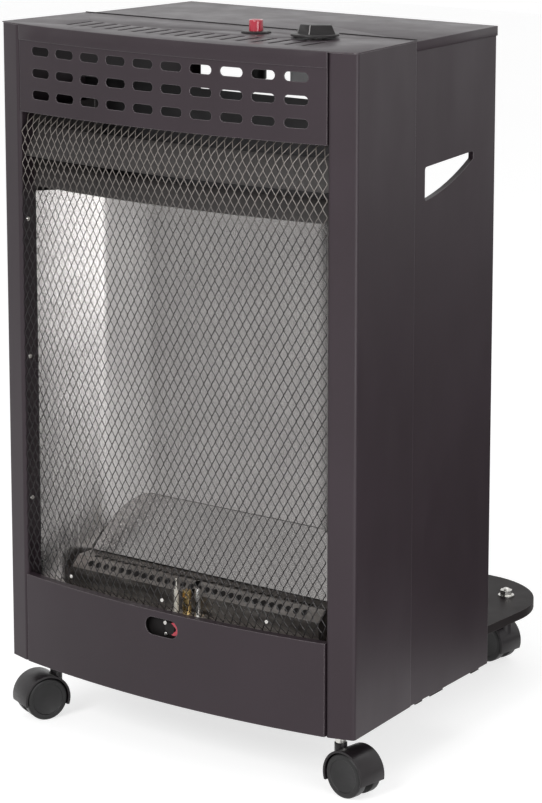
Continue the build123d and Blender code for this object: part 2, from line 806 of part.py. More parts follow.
def rear_plan(inset, start, end):
    """Outline of the rear housing between two depths, inside its outer face."""
    return Polygon(
        (-rear_x(start, inset), start), (rear_x(start, inset), start),
        (rear_x(end, inset), end), (-rear_x(end, inset), end), align=None)


def rear_top():
    """Top of the rear housing, folded down over the side walls and at the back."""
    top = cover_under - fit_gap
    start = seam_y + fit_gap
    panel = up(rear_plan(0, start, rear_y), top - top_flange, top_flange)
    panel -= up(rear_plan(sheet, start - sheet, rear_y + sheet), top - top_flange - sheet, top_flange)
    panel += up(rear_plan(2 * rear_inset, seam_y - panel_overlap, start), top - sheet, sheet)
    back = rear_y - rear_inset
    return panel + up(rear_plan(3 * rear_inset, back - sheet, back), top - top_flange, top_flange)


# ---------------------------------------------------------------- base
def base_plan():
    """Outline of the base plate, with a rounded tongue behind the cabinet."""
    edge = panel_return + fit_gap
    post_back = chord_y + post_return + fit_gap
    seam_front = seam_y - panel_overlap - fit_gap
    back = rear_y - rear_inset
    right = [
        (panel_half, bow_y(panel_half, edge)),
        (panel_half, post_back),
        (half_width(post_back) - rear_inset, post_back),
        (half_width(seam_front) - rear_inset, seam_front),
        (rear_x(seam_front, 2 * rear_inset), seam_front),
        (rear_x(back, 2 * rear_inset), back - sheet),
        (rear_x(back, 2 * rear_inset) - sheet, back),
    ]
    left = [(-x, y) for x, y in reversed(right)]
    front = ThreePointArc(left[-1], (0, bow_y(0, edge)), right[0])
    body = make_face([front, Polyline(*right, *left)])
    tongue = RectangleRounded(tongue_w, base_overhang + 2 * tongue_r, tongue_r)
    return body + Pos(0, (base_rear_y + rear_y) / 2 - tongue_r) * tongue


def base_plate():
    """Pressed base plate with a turned-down rim, side lugs and vents."""
    plan = base_plan()
    rim_low = base_under - base_rim
    plate = up(plan, rim_low, base_top - rim_low)
    hollow = offset(plan, amount=-base_t, kind=Kind.INTERSECTION)
    plate -= up(hollow, rim_low - sheet, base_rim + sheet)
    plate += up(Pos(0, bottle_y) * Circle(field_r), base_under, base_t + field_rise)
    low = base_under - sheet
    plate -= up(Pos(0, bottle_y) * Circle(field_r - base_t), low, sheet + field_rise)
    through = base_t + field_rise + 2 * sheet
    for i in range(base_vents):
        turn = Rot(0, 0, 360 * (i + 0.5) / base_vents)
        vent = Pos(0, bottle_y) * turn * Pos(base_vent_r, 0) * SlotOverall(base_vent_l, base_vent_w)
        plate -= up(vent, low, through)
    for hand in (-1, 1):
        for step, length in zip(lug_steps, lug_lengths):
            y = seam_y + step
            x = hand * rear_x(y, 2 * rear_inset + base_t / 2)
            lug = Box(base_t, length, lug_drop, align=(Align.CENTER, Align.CENTER, Align.MAX))
            plate += Pos(x, y, base_top) * Rot(0, 0, hand * rear_lean) * lug
    for x, y, turn in castor_places():
        plate -= rod((x, y, low), (0, 0, 1), bolt_r + fit_gap, through)
    return plate


# ---------------------------------------------------------------- castors
def castor_places():
    """Stem position and swivel angle of each castor."""
    front = front_y + front_castor_y
    rear = base_rear_y - rear_castor_inset
    return [
        (-front_castor_x, front, front_left_angle),
        (front_castor_x, front, front_right_angle),
        (-rear_castor_x, rear, rear_left_angle),
        (rear_castor_x, rear, rear_right_angle),
    ]


def castor_hood():
    """Hood of a twin-wheel castor with its web, stem at the origin."""
    outer = wheel_r + wheel_clear + fender_t
    axis = Plane((castor_trail, 0, wheel_r), z_dir=(0, 1, 0))
    hood = extrude(axis * Circle(outer), amount=fender_w / 2, both=True)
    hood += rod((0, 0, wheel_r), (0, 0, 1), boss_r, boss_top - wheel_r)
    hood -= extrude(axis * Circle(wheel_r + wheel_clear), amount=fender_w, both=True)
    hood += extrude(axis * Circle(outer), amount=castor_web / 2, both=True)
    under = Box(4 * outer, 4 * fender_w, 4 * outer, align=(Align.CENTER, Align.CENTER, Align.MAX))
    hood -= Pos(castor_trail, 0, wheel_r) * Rot(0, -fender_tilt, 0) * Pos(0, 0, -fender_drop) * under
    hood += extrude(axis * Circle(hub_r), amount=castor_web / 2, both=True)
    hood -= extrude(axis * Circle(axle_r + run_fit), amount=fender_w, both=True)
    return hood - rod((0, 0, boss_top - bolt_socket), (0, 0, 1), bolt_r + run_fit, 2 * bolt_socket)


def wheel(hand):
    """One wheel of a twin-wheel castor, on its side of the web."""
    inner = castor_web / 2 + wheel_clear
    plane = Plane((castor_trail, hand * inner, wheel_r), z_dir=(0, hand, 0))
    disc = extrude(plane * Circle(wheel_r), amount=wheel_w)
    rims = disc.edges().filter_by(GeomType.CIRCLE).sort_by(Axis.Y)
    disc = fillet(rims[-1] if hand > 0 else rims[0], radius=wheel_round)
    disc -= extrude(plane.offset(wheel_w - wheel_dish) * Circle(wheel_dish_r), amount=wheel_w)
    return disc - extrude(plane * Circle(axle_r + seat_fit), amount=wheel_bore)


def axle():
    """Steel axle between the two wheels."""
    half = castor_web / 2 + wheel_clear + wheel_bore - fit_gap
    return rod((castor_trail, -half, wheel_r), (0, 1, 0), axle_r, 2 * half)


def castor_bolt():
    """Stem bolt with collar, washer and domed nut."""
    low = boss_top - bolt_socket + body_gap
    nut_top = base_top + bolt_nut_h
    bolt = rod((0, 0, low), (0, 0, 1), bolt_r, nut_top - low)
    bolt += rod((0, 0, boss_top + body_gap), (0, 0, 1), collar_r, base_under - boss_top - body_gap)
    bolt += rod((0, 0, base_top), (0, 0, 1), washer_r, washer_t)
    bolt += extrude(Plane((0, 0, base_top)) * RegularPolygon(bolt_nut_r, 6), amount=bolt_nut_h)
    dome = Sphere(bolt_dome_r, arc_size1=0)
    return bolt + Pos(0, 0, nut_top) * dome


def guard_screws():
    """Pan-head screws in the posts' flanges, beside the guard."""
    heads = []
    for hand in (-1, 1):
        for share in guard_screw_shares:
            height = guard_low + share * (guard_high - guard_low)
            place = Pos(hand * chord_half, chord_y + guard_screw_y, z_low + height)
            place *= Rot(0, -90 * hand, 0)
            heads.append(place * Cone(guard_screw_r, guard_screw_r / 2, guard_screw_h,
                                      align=(Align.CENTER, Align.CENTER, Align.MIN)))
    return Compound(children=heads)


# ---------------------------------------------------------------- assembly
def all_parts():
    """Every sub-part by name."""
    parts = {
        "left_post": corner_post(-1),
        "right_post": corner_post(1),
        "front_cover": front_cover(),
        "grille_panel": grille_panel(),
        "lower_panel": lower_panel(),
        "mesh_guard": mesh_guard(),
        "guard_screws": guard_screws(),
        "left_cheek": cheek(-1),
        "right_cheek": cheek(1),
        "reflector": reflector(),
        "lower_hood": lower_hood(),
        "upper_hood": upper_hood(),
        "hearth": hearth(),
        "partition": partition(),
        "burner": burner(),
        "mixing_tube": mixing_tube(),
        "injector": injector(),
        "injector_bracket": injector_bracket(),
        "gas_pipe": gas_pipe(),
        "pilot_pipe": pilot_pipe(),
        "pilot_bracket": pilot_bracket(),
        "pilot_burner": pilot_burner(),
        "spark_electrode": spark_electrode(),
        "thermocouple": thermocouple(),
        "sight_box": sight_box(),
        "sight_plug": sight_plug(),
        "valve_plate": valve_plate(),
        "control_valve": control_valve(),
        "hose_inlet": hose_inlet(),
        "spindle": spindle(),
        "knob": knob(),
        "igniter_body": igniter_body(),
        "igniter_nut": igniter_nut(),
        "button": button(),
        "left_side": side_panel(-1),
        "right_side": side_panel(1),
        "rear_top": rear_top(),
        "base_plate": base_plate(),
    }
    names = ["front_left", "front_right", "rear_left", "rear_right"]
    bolts = []
    for name, (x, y, turn) in zip(names, castor_places()):
        place = Pos(x, y, 0) * Rot(0, 0, turn)
        parts[name + "_hood"] = place * castor_hood()
        parts[name + "_axle"] = place * axle()
        parts[name + "_outer_wheel"] = place * wheel(-1)
        parts[name + "_inner_wheel"] = place * wheel(1)
        bolts.append(place * castor_bolt())
    parts["castor_bolts"] = Compound(children=bolts)
    return parts


os.makedirs("parts", exist_ok=True)
for node, shape in all_parts().items():
    export_step(shape, os.path.join("parts", node + ".step"))
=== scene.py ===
# %% [markdown]
# # Portable gas cabinet heater
# A satin dark cabinet on twin-wheel castors, with a bright reflector behind a bowed
# mesh guard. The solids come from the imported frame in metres, with the front facing -Y
# and the controls on +X. This file gives them their finishes, and models by hand what
# the solids only hint at: the expanded metal guard, the reflector's folds, the flame
# ports, the knob and button, the fasteners and the edges that catch the light. Each of
# these rides on the body that it belongs to, so it follows the joints.

# %% Load the frame
import json
import math

import bmesh
import bpy
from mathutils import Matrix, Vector


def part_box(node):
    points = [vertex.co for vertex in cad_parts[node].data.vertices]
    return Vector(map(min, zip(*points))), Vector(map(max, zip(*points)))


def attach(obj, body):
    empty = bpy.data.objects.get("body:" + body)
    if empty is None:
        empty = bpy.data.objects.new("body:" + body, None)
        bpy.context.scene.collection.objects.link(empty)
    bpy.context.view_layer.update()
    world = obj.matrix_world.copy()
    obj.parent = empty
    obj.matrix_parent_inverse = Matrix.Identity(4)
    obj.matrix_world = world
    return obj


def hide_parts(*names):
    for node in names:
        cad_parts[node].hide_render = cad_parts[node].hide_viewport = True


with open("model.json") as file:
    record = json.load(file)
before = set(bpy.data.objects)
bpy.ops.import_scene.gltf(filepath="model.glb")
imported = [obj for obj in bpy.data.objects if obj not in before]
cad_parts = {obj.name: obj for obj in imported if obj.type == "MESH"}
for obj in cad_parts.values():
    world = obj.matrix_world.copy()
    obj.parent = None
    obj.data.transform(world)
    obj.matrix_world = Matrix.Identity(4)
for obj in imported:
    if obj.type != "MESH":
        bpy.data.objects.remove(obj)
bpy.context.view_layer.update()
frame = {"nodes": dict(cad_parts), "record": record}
nodes = frame["nodes"]
body_of_node = {}
for body, members in frame["record"]["behaviour"]["bodies"].items():
    for member in members:
        body_of_node[member] = body
slot_of_node = {part["node"]: part["material_slot"] for part in frame["record"]["subparts"]}
print("frame:", len(nodes), "nodes")

# %% [markdown]
# ## Sizes that the new pieces share
# Everything is in metres. The bowed front is a circular arc between the two corner
# posts, so one radius and one centre, both worked out from the lower panel's box, say
# where any point of it lies.

# %% Sizes from the frame
mm = 0.001
panel_low, panel_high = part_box("lower_panel")
chord_half = panel_high[0]
bow_front_y = panel_low[1]
bow_rise = 17 * mm
bow_radius = (chord_half ** 2 + bow_rise ** 2) / (2 * bow_rise)
bow_centre_y = bow_front_y + bow_radius
cover_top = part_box("front_cover")[1][2]
print("bow radius", round(bow_radius, 3), "cover top", round(cover_top, 4))


def bow_y(x, setback=0.0):
    """Y of the bowed front at x, a setback behind its face."""
    return bow_centre_y - math.sqrt((bow_radius - setback) ** 2 - x * x)


# %% [markdown]
# ## Finishes
# Each finish is a node tree that works on Object coordinates, so its grain keeps its
# real size on every piece. A finish starts from the same three ideas: the colour drifts
# a little over the surface, the roughness drifts with it, and a fine bump breaks the
# reflections as the real coating does.

# %% Helpers for finishes
def noise(tree, place, scale, detail=3.0, roughness=0.55):
    """A noise pattern read at place, with its scale in features a metre."""
    node = tree.nodes.new("ShaderNodeTexNoise")
    node.inputs["Scale"].default_value = scale
    node.inputs["Detail"].default_value = detail
    node.inputs["Roughness"].default_value = roughness
    tree.links.new(place, node.inputs["Vector"])
    return node.outputs["Fac"]


def spread(tree, value, low, high, start=0.3, end=0.7):
    """Maps the middle of a pattern onto the range low to high."""
    node = tree.nodes.new("ShaderNodeMapRange")
    node.inputs["From Min"].default_value = start
    node.inputs["From Max"].default_value = end
    node.inputs["To Min"].default_value = low
    node.inputs["To Max"].default_value = high
    tree.links.new(value, node.inputs["Value"])
    return node.outputs["Result"]


def blend_colours(tree, value, first, second):
    """Mixes two colours by a pattern."""
    node = tree.nodes.new("ShaderNodeMix")
    node.data_type = "RGBA"
    node.inputs[6].default_value = (*first, 1)
    node.inputs[7].default_value = (*second, 1)
    tree.links.new(value, node.inputs["Factor"])
    return node.outputs[2]


def layer_colours(tree, value, under, over):
    """Lays one colour pattern or colour over another by a pattern."""
    node = tree.nodes.new("ShaderNodeMix")
    node.data_type = "RGBA"
    tree.links.new(under, node.inputs[6])
    if isinstance(over, tuple):
        node.inputs[7].default_value = (*over, 1)
    else:
        tree.links.new(over, node.inputs[7])
    tree.links.new(value, node.inputs["Factor"])
    return node.outputs[2]


def bump(tree, value, depth, under=None):
    """Turns a pattern into relief of a depth in metres."""
    node = tree.nodes.new("ShaderNodeBump")
    node.inputs["Strength"].default_value = 1.0
    node.inputs["Distance"].default_value = depth
    tree.links.new(value, node.inputs["Height"])
    if under is not None:
        tree.links.new(under, node.inputs["Normal"])
    return node.outputs["Normal"]


def rounded_edges(tree, radius):
    """Softens the shading over sharp edges, as a coating does."""
    node = tree.nodes.new("ShaderNodeBevel")
    node.samples = 4
    node.inputs["Radius"].default_value = radius
    return node.outputs["Normal"]


def stretched(tree, place, x, y, z):
    """Object coordinates stretched along the axes, for grain that runs one way."""
    node = tree.nodes.new("ShaderNodeMapping")
    node.inputs["Scale"].default_value = (x, y, z)
    tree.links.new(place, node.inputs["Vector"])
    return node.outputs["Vector"]


def start_finish(name, metallic=0.0, **sockets):
    """A new material: its tree, its shader and its Object coordinates."""
    material = bpy.data.materials.new(name)
    material.use_nodes = True
    tree = material.node_tree
    shader = tree.nodes["Principled BSDF"]
    shader.inputs["Metallic"].default_value = metallic
    for socket, value in sockets.items():
        shader.inputs[socket.replace("_", " ")].default_value = value
    place = tree.nodes.new("ShaderNodeTexCoord").outputs["Object"]
    return material, tree, shader, place


print("finish helpers ready")


# %% [markdown]
# ### Stoved enamel
# The cabinet is powder coated in a warm near-black. Powder flows into a skin with a
# very fine orange-peel relief and a soft sheen. Two noises drift its colour and gloss, a
# third near one millimetre makes the relief, and the Bevel node finds the edges: where
# its rounded normal leaves the true one, a paler colour comes in, which is a painted
# highlight along the sharp edges. The guard's enamel is paler near its head, which is a
# painted highlight for the light that falls on its strands from above.

# %% Enamel finishes
def edge_highlight_mask(tree, radius):
    """White within a radius of sharp edges, black elsewhere."""
    true_normal = tree.nodes.new("ShaderNodeNewGeometry").outputs["Normal"]
    turned = tree.nodes.new("ShaderNodeVectorMath")
    turned.operation = "DOT_PRODUCT"
    tree.links.new(rounded_edges(tree, radius), turned.inputs[0])
    tree.links.new(true_normal, turned.inputs[1])
    return spread(tree, turned.outputs["Value"], 1.0, 0.0, start=0.80, end=0.985)


def enamel(name, light, dark, gloss_low, gloss_high, relief=14e-6, edge=0.7 * mm,
           edge_highlight_colour=None, sheen_level=0.5):
    """Satin powder coating, with a paler colour along sharp edges as a painted highlight."""
    material, tree, shader, place = start_finish(name, Specular_IOR_Level=sheen_level)
    link = tree.links.new
    clouds = noise(tree, place, 7.0, detail=4.0)
    specks = noise(tree, place, 420.0, detail=2.0)
    colour = blend_colours(tree, spread(tree, clouds, 0.0, 1.0), dark, light)
    fine = blend_colours(tree, spread(tree, specks, 0.0, 1.0), dark, light)
    colour = layer_colours(tree, spread(tree, specks, 0.0, 0.5), colour, fine)
    # Painted highlight: a paler colour laid along the sharp edges.
    if edge_highlight_colour:
        colour = layer_colours(tree, edge_highlight_mask(tree, 1.4 * edge), colour, edge_highlight_colour)
    link(colour, shader.inputs["Base Color"])
    smears = noise(tree, stretched(tree, place, 1.0, 1.0, 0.35), 26.0, detail=5.0)
    link(spread(tree, smears, gloss_low, gloss_high), shader.inputs["Roughness"])
    peel = noise(tree, place, 900.0, detail=1.5)
    link(bump(tree, peel, relief, rounded_edges(tree, edge)), shader.inputs["Normal"])
    return material


finishes = {}
# The paler edge colours of the cabinet and the base are painted highlights.
finishes["cabinet_enamel"] = enamel(
    "cabinet_enamel", (0.034, 0.024, 0.030), (0.027, 0.019, 0.023), 0.34, 0.44,
    edge_highlight_colour=(0.20, 0.18, 0.19), sheen_level=0.27)
finishes["base_enamel"] = enamel(
    "base_enamel", (0.022, 0.018, 0.019), (0.016, 0.013, 0.013), 0.40, 0.50,
    edge_highlight_colour=(0.12, 0.11, 0.11), sheen_level=0.06)
finishes["inner_enamel"] = enamel(
    "inner_enamel", (0.062, 0.057, 0.055), (0.036, 0.032, 0.032), 0.40, 0.56)
# A near-black coat used as painted shade: in the sight tray, the flame ports, the cup's recess and the
# top seam.
finishes["painted_shade_black"] = enamel(
    "painted_shade_black", (0.008, 0.007, 0.007), (0.005, 0.004, 0.004), 0.5, 0.65, sheen_level=0.2)
finishes["guard_enamel"] = guard_coat = enamel(
    "guard_enamel", (0.012, 0.010, 0.011), (0.007, 0.006, 0.006), 0.22, 0.32,
    relief=4e-6, edge=0.12 * mm, sheen_level=0.35)

# The guard's head is paler, a painted highlight for the light from above: its colour changes over a band
# of heights above the floor.
pale_from, pale_above = 0.565, 0.60
top_lit_grey = (0.20, 0.18, 0.165)
guard_tree = guard_coat.node_tree
guard_colour = guard_tree.nodes["Principled BSDF"].inputs["Base Color"]
height = guard_tree.nodes.new("ShaderNodeSeparateXYZ")
guard_tree.links.new(guard_tree.nodes.new("ShaderNodeTexCoord").outputs["Object"], height.inputs[0])
head = spread(guard_tree, height.outputs["Z"], 0.0, 1.0, start=pale_from, end=pale_above)
guard_tree.links.new(
    layer_colours(guard_tree, head, guard_colour.links[0].from_socket, top_lit_grey), guard_colour)
print("enamels:", ", ".join(finishes))

# %% [markdown]
# ### Bare metals
# Rolled bright sheet shows fine lines along its rolling direction and a slow waviness
# that bends what it mirrors. Zinc plating is duller, with a faint crystal pattern. The
# burner is aluminised sheet that heat has dulled and tinted straw and brown.

# %% Metal finishes
def metal(name, light, dark, rough_low, rough_high, lines=(40.0, 40.0, 1.0),
          line_scale=60.0, wave=0.0, relief=4e-6, edge=0.3 * mm):
    material, tree, shader, place = start_finish(name, metallic=1.0)
    link = tree.links.new
    grain = noise(tree, stretched(tree, place, *lines), line_scale, detail=6.0)
    clouds = noise(tree, place, 11.0, detail=4.0)
    mottled = blend_colours(tree, spread(tree, clouds, 0.0, 1.0), dark, light)
    lined = blend_colours(tree, spread(tree, grain, 0.0, 1.0), dark, light)
    link(layer_colours(tree, spread(tree, grain, 0.2, 0.6), mottled, lined),
         shader.inputs["Base Color"])
    link(spread(tree, grain, rough_low, rough_high), shader.inputs["Roughness"])
    normal = rounded_edges(tree, edge)
    if wave:
        normal = bump(tree, noise(tree, place, 9.0, detail=1.0), wave, normal)
    link(bump(tree, grain, relief, normal), shader.inputs["Normal"])
    return material


finishes["bright_steel"] = metal(
    "bright_steel", (0.45, 0.435, 0.425), (0.35, 0.335, 0.33), 0.17, 0.29,
    lines=(8.0, 8.0, 0.35), wave=0.0007, relief=2e-6)
finishes["zinc_sheet"] = metal(
    "zinc_sheet", (0.085, 0.083, 0.085), (0.050, 0.048, 0.050), 0.42, 0.60,
    lines=(1.0, 1.0, 1.0), line_scale=70.0, wave=0.0006)
finishes["zinc_steel"] = metal(
    "zinc_steel", (0.72, 0.71, 0.68), (0.50, 0.49, 0.47), 0.22, 0.38,
    lines=(1.0, 1.0, 1.0), line_scale=300.0)
finishes["burner_steel"] = metal(
    "burner_steel", (0.30, 0.28, 0.265), (0.13, 0.115, 0.105), 0.30, 0.50,
    lines=(0.5, 3.0, 3.0), line_scale=60.0)
finishes["brass"] = metal(
    "brass", (0.78, 0.58, 0.27), (0.55, 0.38, 0.16), 0.2, 0.36,
    lines=(1.0, 1.0, 1.0), line_scale=500.0)
finishes["pipe_metal"] = metal(
    "pipe_metal", (0.70, 0.70, 0.71), (0.52, 0.52, 0.53), 0.3, 0.45,
    lines=(6.0, 6.0, 0.5), line_scale=120.0)
finishes["valve_aluminium"] = metal(
    "valve_aluminium", (0.58, 0.58, 0.59), (0.42, 0.42, 0.43), 0.42, 0.6,
    lines=(1.0, 1.0, 1.0), line_scale=600.0, relief=20e-6)
print("with the metals:", len(finishes), "finishes")

# %% [markdown]
# ### Plastics and ceramic
# The knob and the castors are moulded nylon with a fine spark texture, which is a very
# small random bump. The igniter's button is glossy red, and the electrode is glazed.

# %% Plastic finishes
def plastic(name, light, dark, rough_low, rough_high, texture=700.0, relief=12e-6,
            edge=0.5 * mm, **sockets):
    material, tree, shader, place = start_finish(name, **sockets)
    link = tree.links.new
    clouds = noise(tree, place, 60.0, detail=4.0)
    link(blend_colours(tree, spread(tree, clouds, 0.0, 1.0), dark, light),
         shader.inputs["Base Color"])
    scuffs = noise(tree, stretched(tree, place, 1.0, 1.0, 3.0), 140.0, detail=5.0)
    link(spread(tree, scuffs, rough_low, rough_high), shader.inputs["Roughness"])
    spark = noise(tree, place, texture, detail=2.0)
    link(bump(tree, spark, relief, rounded_edges(tree, edge)), shader.inputs["Normal"])
    return material


finishes["knob_plastic"] = plastic(
    "knob_plastic", (0.014, 0.012, 0.013), (0.009, 0.008, 0.008), 0.34, 0.46,
    Specular_IOR_Level=0.3)
finishes["red_plastic"] = plastic(
    "red_plastic", (0.52, 0.010, 0.040), (0.38, 0.006, 0.024), 0.12, 0.24,
    texture=300.0, relief=3e-6, Coat_Weight=0.4)
finishes["castor_plastic"] = plastic(
    "castor_plastic", (0.014, 0.011, 0.013), (0.009, 0.007, 0.008), 0.30, 0.42,
    Specular_IOR_Level=0.35)
finishes["wheel_plastic"] = plastic(
    "wheel_plastic", (0.015, 0.014, 0.015), (0.009, 0.009, 0.009), 0.34, 0.5,
    Specular_IOR_Level=0.35)
finishes["ceramic"] = plastic(
    "ceramic", (0.82, 0.80, 0.74), (0.70, 0.66, 0.58), 0.1, 0.2, texture=200.0, relief=3e-6)
# Pale grey for the knob's pointer mark, which also serves as a painted highlight on the grip's corner.
finishes["pointer_and_highlight_grey"] = plastic(
    "pointer_and_highlight_grey", (0.34, 0.33, 0.33), (0.26, 0.25, 0.25), 0.4, 0.55)
print("with the plastics:", len(finishes), "finishes")

# %% [markdown]
# ### Coats on the solids
# Every solid gets the finish that the record gives its piece. Two differ to the eye:
# the tray behind the sight hole is coated near-black, which is painted shade for the dark
# hole, and the hearth under the burner is bright where the reflector's light falls on it.

# %% Coat the solids
# The sight tray gets the near-black coat as painted shade.
coat_by_eye = {"sight_box": "painted_shade_black", "hearth": "bright_steel"}
for name, node in nodes.items():
    node.data.materials.clear()
    node.data.materials.append(finishes[coat_by_eye.get(name, slot_of_node[name])])
print("coated:", len(nodes), "solids")

# %% [markdown]
# ## Ways of working
# Every new piece starts from a primitive or from a merged copy of a solid. Before each
# operator everything is deselected, because operators act on all that is selected. In
# edit mode the faces, points or edges to work on are found by where they lie, which
# holds when a size changes. A finished piece keeps its object at the origin, so its
# pattern and its place agree.

# %% Modelling helpers
def alone(piece):
    """Selects one piece and nothing else."""
    bpy.ops.object.select_all(action="DESELECT")
    piece.select_set(True)
    bpy.context.view_layer.objects.active = piece


def new_piece(name, add, **settings):
    """Adds a primitive and names it."""
    bpy.ops.object.select_all(action="DESELECT")
    add(**settings)
    piece = bpy.context.active_object
    piece.name = name
    return piece


def select_faces(piece, test):
    """In edit mode, selects the faces whose centre and normal pass a test."""
    bpy.ops.mesh.select_mode(type="FACE")
    bpy.ops.mesh.select_all(action="DESELECT")
    mesh = bmesh.from_edit_mesh(piece.data)
    for face in mesh.faces:
        if test(face.calc_center_median(), face.normal):
            face.select_set(True)
    bmesh.update_edit_mesh(piece.data)


def select_points(piece, test):
    """In edit mode, selects the vertices whose place passes a test."""
    bpy.ops.mesh.select_mode(type="VERT")
    bpy.ops.mesh.select_all(action="DESELECT")
    mesh = bmesh.from_edit_mesh(piece.data)
    for point in mesh.verts:
        if test(point.co):
            point.select_set(True)
    mesh.select_flush_mode()
    bmesh.update_edit_mesh(piece.data)


def select_edges(piece, test):
    """In edit mode, selects the edges whose two ends pass a test."""
    bpy.ops.mesh.select_mode(type="EDGE")
    bpy.ops.mesh.select_all(action="DESELECT")
    mesh = bmesh.from_edit_mesh(piece.data)
    for edge in mesh.edges:
        if test(edge.verts[0].co, edge.verts[1].co):
            edge.select_set(True)
    bmesh.update_edit_mesh(piece.data)


def apply_modifier(piece, kind, **settings):
    """Adds a modifier and applies it."""
    alone(piece)
    modifier = piece.modifiers.new(kind.lower(), kind)
    for key, value in settings.items():
        setattr(modifier, key, value)
    bpy.ops.object.modifier_apply(modifier=modifier.name)


def settle(piece):
    """Puts the piece's place into its mesh, so its object is at the origin."""
    alone(piece)
    bpy.ops.object.transform_apply(location=True, rotation=True, scale=True)


def finish_piece(piece, finish, body, angle=35, stands_for=()):
    """Shades the piece, gives it its finish and makes it ride on its body."""
    settle(piece)
    bpy.ops.object.shade_smooth_by_angle(angle=math.radians(angle))
    piece.data.materials.clear()
    piece.data.materials.append(finishes[finish])
    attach(piece, body)
    if stands_for:
        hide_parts(*stands_for)
    print(piece.name, len(piece.data.polygons), "faces")
    return piece


def merged_copy(node, name):
    """A copy of a solid in edit mode, its faces' shared corners merged."""
    piece = bpy.data.objects.new(name, nodes[node].data.copy())
    bpy.context.scene.collection.objects.link(piece)
    alone(piece)
    bpy.ops.object.mode_set(mode="EDIT")
    bpy.ops.mesh.select_all(action="SELECT")
    bpy.ops.mesh.remove_doubles(threshold=0.002 * mm)
    return piece


def softened(node, radius, segments=2):
    """A merged copy of a solid with its edges rounded, standing for that solid."""
    piece = merged_copy(node, node + "_soft")
    bpy.ops.mesh.dissolve_limited(angle_limit=math.radians(1.0))
    bpy.ops.object.mode_set(mode="OBJECT")
    apply_modifier(piece, "BEVEL", width=radius, segments=segments, limit_method="ANGLE",
                   angle_limit=math.radians(35), use_clamp_overlap=True,
                   miter_outer="MITER_ARC")
    return finish_piece(piece, slot_of_node[node], body_of_node[node], stands_for=[node])


print("modelling helpers ready")


# %% [markdown]
# ## The expanded metal guard
# Expanded metal is one sheet, slit from top to bottom and pulled open sideways. What
# stays is a row of upright strips that sway left and right and touch their neighbours
# at short bonds. Pulling turns every strip about its own length, so its right edge
# stands forward, and each strip climbs backward and forward as it sways. That is why
# the strands that lean right look dark and the others catch the light.
#
# One strip's single sway is modelled: a small turned face for the first bond, pulled
# out by extrusion to the next bond and back. An array repeats it upwards, a copy half a
# step along fills the other strips, and two more arrays set them side by side.

# %% One sway of a strip
mesh_w = 9.25 * mm
mesh_h = 16.3 * mm
strand = 1.35 * mm
strand_turn = math.radians(42)
strand_thick = 0.65 * mm
bond = 1.5 * mm
guard_low, guard_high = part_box("mesh_guard")
guard_half = guard_high[0] - 0.3 * mm
columns = int(2 * guard_half / mesh_w) + 2
rows = int((guard_high[2] - guard_low[2]) / mesh_h) + 3
strand_across = strand * math.cos(strand_turn)
strand_deep = strand * math.sin(strand_turn)
sway = mesh_w / 2 - strand_across
climb = mesh_h / 2 - bond


def pull_upper_edge(piece, move):
    """Extrudes the strip's upper edge by a move."""
    top = max(point.co.z for point in bmesh.from_edit_mesh(piece.data).verts)
    select_points(piece, lambda p: p.z > top - 0.01 * mm)
    bpy.ops.mesh.extrude_edges_move(TRANSFORM_OT_translate={"value": move})


def guard_strips(name, step_x, step_z):
    """Every other strip of the flat guard, a step along from the first."""
    strip = new_piece(name, bpy.ops.mesh.primitive_plane_add, size=1,
                      rotation=(math.pi / 2, 0, -strand_turn))
    strip.scale = (strand, bond, 1)
    strip.location = (strand_across / 2, -strand_deep / 2, 0)
    settle(strip)
    bpy.ops.object.mode_set(mode="EDIT")
    bpy.ops.mesh.select_mode(type="VERT")
    pull_upper_edge(strip, (sway, strand_deep, climb))
    pull_upper_edge(strip, (0, 0, bond))
    pull_upper_edge(strip, (-sway, -strand_deep, climb))
    bpy.ops.object.mode_set(mode="OBJECT")
    apply_modifier(strip, "ARRAY", count=rows, use_relative_offset=False,
                   use_constant_offset=True, constant_offset_displace=(0, 0, mesh_h),
                   use_merge_vertices=True, merge_threshold=0.05 * mm)
    apply_modifier(strip, "ARRAY", count=columns, use_relative_offset=False,
                   use_constant_offset=True, constant_offset_displace=(mesh_w, 0, 0))
    strip.location = (-columns * mesh_w / 2 + step_x, 0, guard_low[2] - mesh_h + step_z)
    settle(strip)
    return strip


print("sway:", round(sway * 1000, 2), "mm over", round(climb * 1000, 2), "mm")

# %% [markdown]
# ### The flat net
# The press leaves a net that is longer and wider than the guard, and a shear trims it.
# Here two sets of strips are joined into one net, and four cuts at the solid guard's
# own edges take off what stands past them, so strands end where the frame covers them.

# %% The flat guard, cut to its size
guard = guard_strips("expanded_metal_guard", 0, 0)
between = guard_strips("strips_between", mesh_w / 2, mesh_h / 2)
alone(guard)
between.select_set(True)
bpy.ops.object.join()
bpy.ops.object.mode_set(mode="EDIT")
trims = [((guard_half, 0, 0), (1, 0, 0)), ((-guard_half, 0, 0), (-1, 0, 0)),
         ((0, 0, guard_high[2] - 0.5 * mm), (0, 0, 1)),
         ((0, 0, guard_low[2] + 0.5 * mm), (0, 0, -1))]
for point, direction in trims:
    bpy.ops.mesh.select_all(action="SELECT")
    bpy.ops.mesh.bisect(plane_co=point, plane_no=direction, clear_outer=True)
bpy.ops.object.mode_set(mode="OBJECT")
print("guard:", 2 * columns, "strips of", rows, "sways,", len(guard.data.polygons), "faces")

# %% [markdown]
# ### Bowed and folded
# The flat net is laid on the bowed front. Its head leans back under the grille and its
# foot over the hearth, so every point gets the bow's depth at its own x and the lean
# at its own height. Thickness comes last, so that it stays the same everywhere.

